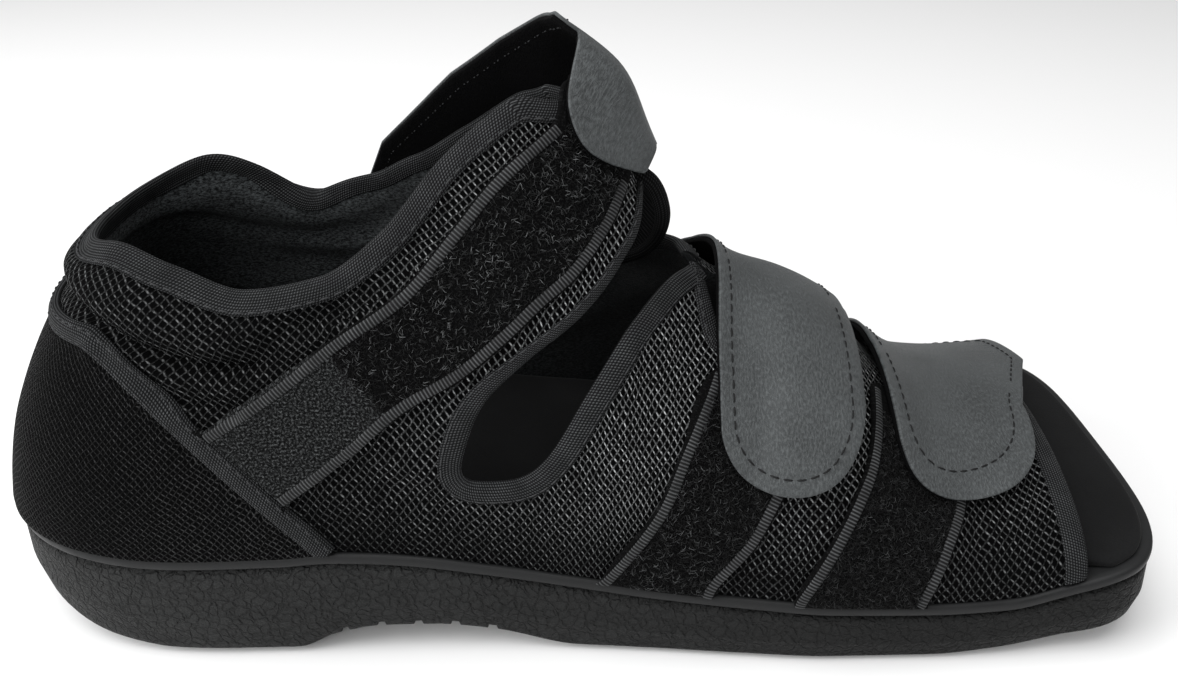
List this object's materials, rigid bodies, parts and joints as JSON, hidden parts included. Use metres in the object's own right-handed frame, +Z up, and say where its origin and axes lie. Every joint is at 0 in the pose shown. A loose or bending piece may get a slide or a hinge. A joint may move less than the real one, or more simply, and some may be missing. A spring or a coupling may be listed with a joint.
{
  "type": "post operative shoe",
  "caption": "Open-toe post-operative shoe in black mesh with a padded collar, wide throat and hook-and-loop straps on a thick rocker sole.",
  "frame": {"origin": "on the floor under the middle of the sole's length and width", "axes": "+X to the toe, +Z up, -Y to the side on which the straps close"},
  "size_m": [0.2939, 0.1052, 0.1486],
  "materials": {
    "foam": "matte pebbled",
    "wrap": "matte smooth",
    "insole": "matte",
    "mesh": "matte knitted mesh",
    "binding": "matte woven tape",
    "tape": "matte looped pile",
    "strap": "satin fine grain"
  },
  "bodies": {
    "root": {"outsole": "foam", "platform": "wrap", "insole": "insole", "upper": "mesh", "heel_panel": "mesh", "heel_binding": "binding", "collar_binding": "binding", "throat_binding_near": "binding", "throat_binding_far": "binding", "toe_binding": "binding", "ankle_loop_tape": "tape", "mid_loop_tape": "tape", "toe_loop_tape": "tape", "ankle_strap": "strap", "mid_strap": "strap", "toe_strap": "strap"}
  },
  "joints": []
}
